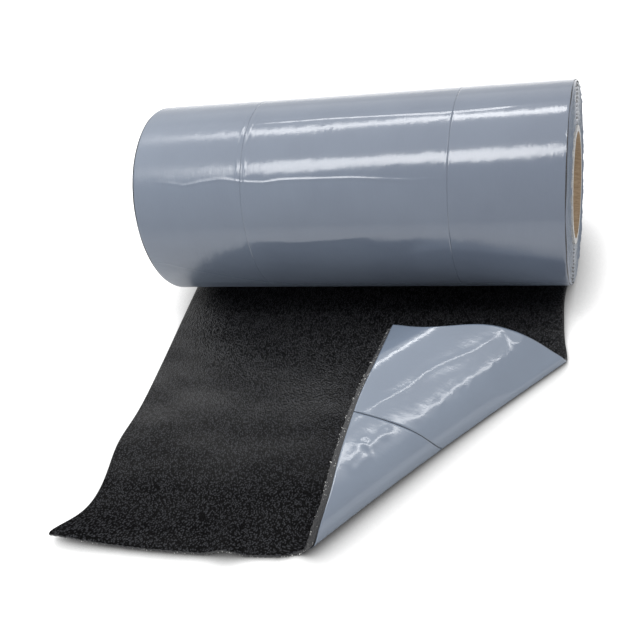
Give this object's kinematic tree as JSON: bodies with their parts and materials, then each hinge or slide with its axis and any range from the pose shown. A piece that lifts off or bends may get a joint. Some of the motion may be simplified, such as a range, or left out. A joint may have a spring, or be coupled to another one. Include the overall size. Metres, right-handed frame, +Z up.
{
  "type": "roll of roof flashing",
  "caption": "Roll of flexible self-adhesive roof flashing on a cardboard core, its free end laid out flat and one corner folded back to show the release film.",
  "frame": {"origin": "on the floor under the roll's axis, in the middle of the strip's width, where the free end leaves the roll", "axes": "+X along the roll's axis, towards the end near the folded corner; -Y towards the free end; +Z up"},
  "size_m": [0.3222, 0.3378, 0.1367],
  "materials": {
    "flashing": "matte",
    "release_film": "gloss",
    "core_cardboard": "matte"
  },
  "bodies": {
    "root": {"flashing_strip": "flashing", "core_tube": "core_cardboard", "release_film_left": "release_film", "release_film_middle": "release_film", "release_film_right": "release_film"}
  },
  "joints": []
}
